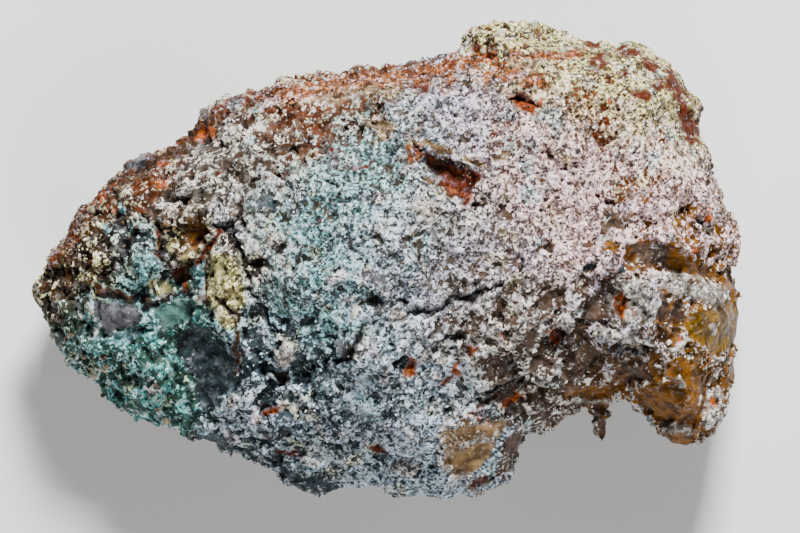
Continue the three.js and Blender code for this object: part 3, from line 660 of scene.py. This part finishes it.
def paint(places, normals, colours, wander):
    """What each place is painted with: crust, ground, cover, glass, plainness and depth."""
    noise = swing(places, *NOISE["swings"]) + 0.5 * swing(places, *NOISE["ripples"])
    place = places[:, :2] + noise * wander
    blur = layered(places, *NOISE["borders"])
    upper = ramp(places[:, 2], *LEVELS["marks"]) * ramp(normals[:, 2], -0.6, 0)
    crust, ground, cover = broad_tints(places[:, :2] + TINT_WANDER * noise * wander, colours)
    low = FADE * (1 - ramp(places[:, 2], *LEVELS["tints"]))[:, None]
    crust += low * (np.array(colours.bone) - crust)
    ground += low * (np.array(colours.gloom) - ground)
    nearest, _, own, _ = grains(places + 0.9 * noise[:, [0, 1, 0]], *NOISE["patches"])
    accents = np.array([getattr(colours, name) for name in ACCENTS])
    accent = accents[(own * 97).astype(int) % len(ACCENTS)]
    lean = LEAN * ramp(own, 0.2, 0.9) * (1 - ramp(nearest, 0.35, 0.75))
    crust += lean[:, None] * (accent - crust)
    glass = np.zeros(len(places))
    plain = np.zeros(len(places))
    depth = np.zeros(len(places))
    for kind in MARKS:
        share = mask_of(kind, place, blur) * upper
        colour = np.array(getattr(colours, kind))
        smooth = kind in GLASSY
        crust += share[:, None] * (colour - crust)
        reach, shade = (1, 1) if smooth else BELOW
        ground += (share * reach)[:, None] * (colour * shade - ground)
        glass = np.maximum(glass, share) if smooth else glass * (1 - share)
        plain = np.maximum(plain * (1 - share), share * PLAIN.get(kind, 0))
        depth += share * DEPTHS.get(kind, 0)
    return dict(crust=crust, ground=ground, cover=cover, glass=glass, plain=plain, depth=depth)


def write_numbers(mesh, name, values):
    kind = "FLOAT_COLOR" if values.ndim == 2 else "FLOAT"
    attribute = mesh.attributes.new(name, kind, "POINT")
    if values.ndim == 2:
        values = np.concatenate([values, np.ones((len(values), 1))], axis=1)
        attribute.data.foreach_set("color", values.astype(np.float32).ravel())
    else:
        attribute.data.foreach_set("value", values.astype(np.float32))


def add_modifier(piece, kind, **settings):
    modifier = piece.modifiers.new(kind.title(), kind)
    for key, value in settings.items():
        setattr(modifier, key, value)
    return modifier


def placed(name, data):
    """A new object of the scene that shows a mesh, a lamp or a camera."""
    made = bpy.data.objects.new(name, data)
    bpy.context.scene.collection.objects.link(made)
    return made


def settle(piece):
    """Makes a piece's modifiers part of its mesh."""
    graph = bpy.context.evaluated_depsgraph_get()
    mesh = bpy.data.meshes.new_from_object(piece.evaluated_get(graph))
    piece.modifiers.clear()
    piece.data = mesh
    return mesh


def shape_body(sizes, colours):
    """The solid's form in a fine mesh, roughened as broken crust."""
    body = placed("agate_whole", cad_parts[NODE].data.copy())
    add_modifier(body, "REMESH", mode="VOXEL", voxel_size=sizes.voxel)
    add_modifier(body, "SMOOTH", factor=0.5, iterations=sizes.smoothing)
    mesh = settle(body)
    places, normals = read_places(mesh)
    if not len(places):
        raise RuntimeError("the voxel remesh of the stone gave no mesh")
    paints = paint(places, normals, colours, sizes.wander / MM)
    glass = paints["glass"]
    ridges = 1 - 2 * np.abs(layered(places, *NOISE["ridges"]))
    rise = layered(places, *NOISE["lumps"]) + 0.55 * ridges
    rise *= sizes.lumps / MM
    broken = 1 - ramp(paints["cover"], 0.5, 0.85)
    breaks = chips(places, *NOISE["chips"]) + 0.5 * chips(places, *NOISE["splinters"])
    rise += sizes.chips / MM * (0.4 + 0.6 * broken) * breaks
    _, gap, own, _ = grains(places, *NOISE["granules"])
    rise += sizes.granules / MM * (2 * own - 1) * ramp(gap, 0, 0.2)
    for size, share, seed in PIT_BEDS:
        nearest, _, own, _ = grains(places, size, seed)
        rise -= sizes.pits / MM * (own > share) * (1 - ramp(nearest, 0.1, 0.3 + 0.1 * own))
    rise *= 1 - 0.8 * glass
    rise += sizes.lumps / MM * glass * layered(places, *NOISE["swells"])
    rise -= paints["depth"]
    resting = 1 - ramp(places[:, 2], *LEVELS["relief"])
    places += normals * (rise * (1 - resting))[:, None]
    places[:, 2] = np.maximum(places[:, 2], 0)
    mesh.vertices.foreach_set("co", (places * MM).ravel())
    mesh.update()
    places, normals = read_places(mesh)
    quads = np.empty(len(mesh.polygons) * 4, np.int32)
    mesh.polygons.foreach_get("vertices", quads)
    bpy.data.objects.remove(body)
    return places, normals, quads.reshape(-1, 4)


def part_of(name, shape, kept, numbers):
    """A piece of the body with only the kept faces, shaded with the whole body's normals."""
    places, normals, quads = shape
    used, corners = np.unique(quads[kept], return_inverse=True)
    mesh = bpy.data.meshes.new(name)
    mesh.from_pydata((places[used] * MM).tolist(), [], corners.reshape(-1, 4).tolist())
    for key, values in numbers.items():
        write_numbers(mesh, key, values[used])
    piece = placed(name, mesh)
    mesh.shade_smooth()
    mesh.normals_split_custom_set_from_vertices(normals[used].tolist())
    return piece


def stone_material(colours):
    """Rough speckled crust that gives way to smooth, softly lit chalcedony."""
    shader = Shader("agate")
    place = shader.place()
    crust = shader.attribute("crust", output=0)
    ground = shader.attribute("ground", output=0)
    glass = shader.attribute("glass")
    sunk_shade = shader.attribute("sunk_shade")
    cover = shader.attribute("cover")
    plain = shader.attribute("plain")
    speckle = shader.noise(place, 1.9, 2, 0.55, 0.4)
    fine = shader.noise(place, 3.6, 1)
    zone = shader.noise(place, 0.22, 2)
    hole = 1 - shader.cells(place, 1.7).ramp(0.18, 0.32)
    warped = shader.warped(place, 1.4, 0.8)
    coarse = 0.5 * shader.cells(warped, 2.4, output=1) + 0.5 * shader.cells(warped, 1.0, output=1)
    sandy = 0.5 * shader.cells(warped, 3.6, output=1) + 0.5 * shader.cells(warped, 1.9, output=1)
    finer = cover.ramp(0.5, 0.8)
    flakes = coarse * (1 - finer) + sandy * finer

    grain = shader.noise(place, 0.8, 3, 0.55, 0.6) * (1 - finer) + shader.noise(place, 1.9, 2) * finer
    patch = 0.6 * grain + 0.4 * flakes + 0.4 * (zone - 0.5)
    patch = patch + 0.3 * (cover - 0.5) - 0.15 * glass + plain
    pale = patch.ramp(0.475, 0.51)
    hue = shader.noise(place, 1.1, 2, 0.6, 0.5)
    crust = shader.mix(0.55 * hue.ramp(0.56, 0.64) * (1 - plain), crust, colours.tan)
    crust = shader.mix(0.5 * (1 - hue.ramp(0.36, 0.44)) * (1 - plain), crust, colours.lilac)
    # Painted light and shade of the small breaks: the crust is painted in a shaded, a half-lit and a lit
    # copy of its colour, flake by flake at random, and the most lit places turn towards chalk white, partly
    # white crystals and partly painted highlight.
    lit = 0.6 * flakes + 0.4 * speckle + 0.3 * (zone - 0.5)
    lit = lit * (1 - plain) + 0.585 * plain
    tone = shader.mix(lit.ramp(0.4, 0.48), shader.mix(0.93, crust, BLACK), shader.mix(0.62, crust, BLACK))
    tone = shader.mix(lit.ramp(0.5, 0.58), tone, crust)
    tone = shader.mix(0.45 * lit.ramp(0.6, 0.65) * (1 - plain), tone, colours.chalk)
    # Painted shade: the small pits of the crust turn near black, as the shade they hold.
    pit_shade = hole * fine.ramp(0.4, 0.5) * (1 - plain)
    tone = shader.mix(0.92 * pit_shade, tone, colours.painted_shade)
    # Painted shade: the crust darkens in the hollows.
    tone = shader.mix(0.8 * sunk_shade, tone, shader.mix(0.9, crust, BLACK))
    height = 0.6 * pale + 0.8 * flakes + 0.4 * speckle - 0.8 * pit_shade
    chalky = shader.node("ShaderNodeBsdfPrincipled", values={
        "Base Color": tone, "Roughness": 0.6, "Specular IOR Level": 0.12,
        "Normal": shader.bump(height, 0.32),
    })

    cloud = shader.noise(place, 0.45, 3, 0.5, 1).ramp(0.36, 0.62)
    depth = shader.mix(cloud, shader.mix(0.7, ground, BLACK), ground)
    mist = shader.noise(place, 0.9, 3, 0.6, 0.8).ramp(0.5, 0.72)
    depth = shader.mix(0.22 * mist, depth, shader.mix(0.4, ground, colours.chalk))
    # Painted highlights: small white glints on the glass, partly white crystals and partly painted glints of
    # light.
    glint = (speckle + 0.4 * (flakes - 0.5)).ramp(0.64, 0.68) * (1 - 0.7 * glass)
    depth = shader.mix(0.7 * glint, depth, shader.mix(0.4, crust, colours.chalk))
    # Painted shade: the glass darkens towards black in the hollows.
    depth = shader.mix(0.7 * sunk_shade, depth, BLACK)
    glassy = shader.node("ShaderNodeBsdfPrincipled", values={
        "Base Color": depth, "Roughness": 0.3, "IOR": 1.54, "Specular IOR Level": 0.04,
        "Subsurface Weight": 0.06, "Subsurface Radius": (0.002, 0.0012, 0.0006), "Subsurface Scale": 0.5,
        "Normal": shader.bump(shader.noise(place, 0.7, 2) + 0.2 * glint, 0.6, 0.7),
    })
    return shader.finish(shader.node("ShaderNodeMixShader", values={0: pale, 1: glassy, 2: chalky}))


def finish_piece(piece, material):
    piece.data.materials.append(material)
    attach(piece, "root")


class MOSS_OT_body(Operator):
    """Builds the stone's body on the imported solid, with its crust, marks and finish."""

    bl_idname = "moss_agate.body"
    bl_label = "Build the stone"

    def execute(self, context):
        sizes = context.scene.agate_sizes
        colours = context.scene.agate_colours
        shape = shape_body(sizes, colours)
        places, normals, quads = shape
        numbers = paint(places, normals, colours, sizes.wander / MM)
        fine, broad = sunk(places, normals, quads)
        # Painted light and shade of the forms: the pale crust thins in the wide hollows and thickens on the
        # wide ridges, and the near and wide hollows are darkened.
        numbers["cover"] += 0.5 * ramp(-broad, 0.05, 0.5) - 0.6 * ramp(broad, 0.05, 0.5)
        numbers["sunk_shade"] = unit(ramp(fine, 0.06, 0.3) + 0.8 * ramp(broad, 0.1, 0.8))
        del numbers["depth"]
        height = places[quads, 2].mean(axis=1)
        levels = np.quantile(height, np.linspace(0, 1, len(BANDS) + 1)[1:-1])
        band = np.searchsorted(levels, height)
        material = stone_material(colours)
        for index, name in enumerate(BANDS):
            piece = part_of(name, shape, band == index, numbers)
            finish_piece(piece, material)
            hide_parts(NODE)
        return {"FINISHED"}


def sunk(places, normals, quads):
    """How far each point lies below its near neighbours, and below its wider ones."""
    ends = np.concatenate([quads, np.roll(quads, -1, axis=1)], axis=0).reshape(2, -1)
    near, far = np.concatenate([ends, ends[::-1]], axis=1)
    count = 1 + np.bincount(near, minlength=len(places))
    level = places
    found = []
    for rounds in ROUNDS:
        for _ in range(rounds):
            total = [np.bincount(near, level[far, axis], len(places)) for axis in range(3)]
            level = (level + np.stack(total, axis=1)) / count[:, None]
        found.append(np.einsum("ij,ij->i", level - places, normals))
    return found


def sown(kind, places, normals, weights, count, usual):
    """Seeded picks among the body's points, and the middle and stretch of the form at each."""
    form = SMALL[kind]
    chance = np.random.default_rng(form["seed"])
    weights = weights / weights.sum()
    most = min(count, int((weights > 0).sum()))
    picked = chance.choice(len(weights), size=most, replace=False, p=weights)
    size = usual / MM * chance.lognormal(0, form["spread"], most)
    stretch = size[:, None] * chance.uniform(*form["stretch"], (most, 3))
    centres = places[picked] + normals[picked] * (form["out"] * size)[:, None]
    return picked, centres, stretch, chance


def joined(name, corners, faces, centres, stretch, chance, stains):
    """One mesh of many turned and stretched copies of a small form, each with its own stain."""
    corners = np.array(corners, float)
    faces = np.array(faces)
    turns = chance.normal(size=(len(centres), 4))
    turns /= np.linalg.norm(turns, axis=1)[:, None]
    w, x, y, z = turns.T
    matrices = np.stack([
        1 - 2 * (y * y + z * z), 2 * (x * y - z * w), 2 * (x * z + y * w),
        2 * (x * y + z * w), 1 - 2 * (x * x + z * z), 2 * (y * z - x * w),
        2 * (x * z - y * w), 2 * (y * z + x * w), 1 - 2 * (x * x + y * y),
    ], axis=1).reshape(-1, 3, 3)
    points = np.einsum("nij,nkj->nki", matrices, corners[None] * stretch[:, None, :]) + centres[:, None, :]
    offsets = np.arange(len(centres))[:, None, None] * len(corners)
    mesh = bpy.data.meshes.new(name)
    triangles = (faces[None] + offsets).reshape(-1, 3)
    mesh.from_pydata((points.reshape(-1, 3) * MM).tolist(), [], triangles.tolist())
    write_numbers(mesh, "stain", np.repeat(stains, len(corners), axis=0))
    piece = placed(name, mesh)
    mesh.shade_smooth()
    return piece


def seen_places():
    """The points of the bands that the camera sees, with their painted numbers."""
    found = []
    for name in BANDS[1:]:
        piece = bpy.data.objects.get(name)
        if piece is None:
            raise RuntimeError("build the stone first")
        row = [*read_places(piece.data)]
        for key, kind, width in (("crust", "color", 4), ("glass", "value", 1), ("sunk_shade", "value", 1)):
            values = np.empty(len(row[0]) * width, np.float32)
            piece.data.attributes[key].data.foreach_get(kind, values)
            row.append(values.reshape(-1, 4)[:, :3] if width == 4 else values)
        found.append(row)
    return [np.concatenate(column) for column in zip(*found)]


class MOSS_OT_crystals(Operator):
    """Sets small pale crystals into the crust, as one joined mesh."""

    bl_idname = "moss_agate.crystals"
    bl_label = "Set the crystals"

    def execute(self, context):
        sizes = context.scene.agate_sizes
        places, normals, crust, glass, sunk_shade = seen_places()
        gather = ramp(layered(places, *NOISE["crystals"]), -0.3, 0.6)
        gather *= ramp(places[:, 2], *LEVELS["crystals"])
        gather *= (1 - glass) * (1 - sunk_shade)
        picked, centres, stretch, chance = sown(
            "crystals", places, normals, gather, sizes.grain_count, sizes.grain
        )
        chalk = np.array(context.scene.agate_colours.chalk)
        pale = chance.uniform(0, 0.45, (len(picked), 1))
        stains = crust[picked] * (1 - pale) + chalk * pale
        piece = joined("crust_crystals", GRAIN_CORNERS, GRAIN_FACES, centres, stretch, chance, stains)
        shader = Shader("crystal")
        colour = shader.attribute("stain", output=0)
        surface = shader.node("ShaderNodeBsdfPrincipled", values={
            "Base Color": colour, "Roughness": 0.35, "Subsurface Weight": 0.15,
            "Subsurface Radius": (0.001, 0.001, 0.001), "Subsurface Scale": 0.5,
        })
        finish_piece(piece, shader.finish(surface))
        piece.data.shade_flat()
        return {"FINISHED"}


class MOSS_OT_beads(Operator):
    """Grows drusy beads of chalcedony along the rim, as one joined mesh."""

    bl_idname = "moss_agate.beads"
    bl_label = "Grow the beads"

    def execute(self, context):
        sizes = context.scene.agate_sizes
        colours = context.scene.agate_colours
        places, normals, _, _, _ = seen_places()
        beds = np.zeros(len(places))
        for x, y, spread in BEAD_BEDS:
            beds += np.exp(-((places[:, 0] - x) ** 2 + (places[:, 1] - y) ** 2) / spread**2)
        beds *= ramp(places[:, 2], *LEVELS["beads"]) * ramp(layered(places, *NOISE["beads"]), -0.5, 0.4)
        beds *= beds > 0.05
        picked, centres, stretch, chance = sown(
            "beads", places, normals, beds, sizes.bead_count, sizes.bead
        )
        pale = chance.beta(0.5, 2, (len(picked), 1))
        stains = np.array(colours.umber) * (1 - pale) + np.array(colours.bead) * pale
        corners, faces = ball()
        piece = joined("drusy_beads", corners, faces, centres, stretch, chance, stains)
        shader = Shader("bead")
        tone = shader.noise(shader.place(), 1.4, 3).ramp(0.35, 0.6)
        stain = shader.attribute("stain", output=0)
        colour = shader.mix(tone, shader.mix(0.6, stain, BLACK), stain)
        surface = shader.node("ShaderNodeBsdfPrincipled", values={
            "Base Color": colour, "Roughness": 0.28, "Subsurface Weight": 0.3,
            "Subsurface Radius": (0.001, 0.0008, 0.0005), "Subsurface Scale": 0.5,
        })
        finish_piece(piece, shader.finish(surface))
        return {"FINISHED"}


def ball():
    """The corners and faces of a small twenty-sided ball, each face split in four."""
    golden = (1 + math.sqrt(5)) / 2
    corners = [Vector(c).normalized() for c in (
        (-1, golden, 0), (1, golden, 0), (-1, -golden, 0), (1, -golden, 0),
        (0, -1, golden), (0, 1, golden), (0, -1, -golden), (0, 1, -golden),
        (golden, 0, -1), (golden, 0, 1), (-golden, 0, -1), (-golden, 0, 1),
    )]
    faces = [
        (0, 11, 5), (0, 5, 1), (0, 1, 7), (0, 7, 10), (0, 10, 11), (1, 5, 9), (5, 11, 4), (11, 10, 2),
        (10, 7, 6), (7, 1, 8), (3, 9, 4), (3, 4, 2), (3, 2, 6), (3, 6, 8), (3, 8, 9), (4, 9, 5),
        (2, 4, 11), (6, 2, 10), (8, 6, 7), (9, 8, 1),
    ]
    middles = {}
    split = []
    for face in faces:
        halves = []
        for a, b in zip(face, face[1:] + face[:1]):
            key = (min(a, b), max(a, b))
            if key not in middles:
                middles[key] = len(corners)
                corners.append(((corners[a] + corners[b]) / 2).normalized())
            halves.append(middles[key])
        split += [(face[0], halves[0], halves[2]), (face[1], halves[1], halves[0]),
                  (face[2], halves[2], halves[1]), tuple(halves)]
    return corners, split


def area_light(name, power, setup):
    data = bpy.data.lights.new(name, "AREA")
    data.energy = power
    data.size = setup["size"]
    lamp = placed(name, data)
    lamp.location = setup["place"]
    lamp.rotation_euler = (Vector(AIM) - lamp.location).to_track_quat("-Z", "Y").to_euler()


class MOSS_OT_stage(Operator):
    """Lays the floor, hangs the soft lights and sets the camera over the stone."""

    bl_idname = "moss_agate.stage"
    bl_label = "Set the stage"

    def execute(self, context):
        stage = context.scene.agate_stage
        half = stage.floor / 2
        mesh = bpy.data.meshes.new("floor")
        corners = [(-half, -half, 0), (half, -half, 0), (half, half, 0), (-half, half, 0)]
        mesh.from_pydata(corners, [], [(0, 1, 2, 3)])
        floor = placed("floor", mesh)
        shader = Shader("floor")
        surface = shader.node("ShaderNodeBsdfPrincipled", values={
            "Base Color": solid(stage.floor_colour), "Roughness": 0.8,
        })
        mesh.materials.append(shader.finish(surface))

        area_light("key", stage.key, KEY)
        area_light("fill", stage.fill, FILL)
        world = bpy.data.worlds.new("studio")
        world.use_nodes = True
        background = world.node_tree.nodes["Background"]
        background.inputs["Color"].default_value = (1, 1, 1, 1)
        background.inputs["Strength"].default_value = stage.sky
        context.scene.world = world

        camera = placed("camera", bpy.data.cameras.new("camera"))
        camera.data.lens = LENS
        camera.data.sensor_width = SENSOR
        wide = PICTURE["width"] / PICTURE["per_mm"] * MM
        distance = wide * LENS / SENSOR
        x, y = PICTURE["middle"]
        camera.location = (x * MM, y * MM, distance + FACE_LEVEL * MM)
        camera.data.clip_start, camera.data.clip_end = CLIP
        context.scene.camera = camera
        return {"FINISHED"}


class MOSS_PT_panel(Panel):
    """Lists the stone's sizes, colours and steps."""

    bl_label = "Moss Agate"
    bl_space_type = "VIEW_3D"
    bl_region_type = "UI"
    bl_category = "Moss Agate"

    def draw(self, context):
        layout = self.layout
        for name in ("agate_sizes", "agate_colours", "agate_stage"):
            group = getattr(context.scene, name)
            box = layout.box()
            for key in group.__annotations__:
                box.prop(group, key)
        for step in STEPS:
            layout.operator(step.bl_idname)


GROUPS = {"agate_sizes": AgateSizes, "agate_colours": AgateColours, "agate_stage": AgateStage}
STEPS = (MOSS_OT_body, MOSS_OT_crystals, MOSS_OT_beads, MOSS_OT_stage)
CLASSES = (*GROUPS.values(), *STEPS, MOSS_PT_panel)


def register():
    for cls in CLASSES:
        bpy.utils.register_class(cls)
    for name, group in GROUPS.items():
        setattr(bpy.types.Scene, name, PointerProperty(type=group))


def unregister():
    for name in GROUPS:
        delattr(bpy.types.Scene, name)
    for cls in reversed(CLASSES):
        bpy.utils.unregister_class(cls)


def main():
    register()
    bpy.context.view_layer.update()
    bpy.ops.moss_agate.body()
    bpy.ops.moss_agate.crystals()
    bpy.ops.moss_agate.beads()
    bpy.ops.moss_agate.stage()


if __name__ == "__main__":
    main()
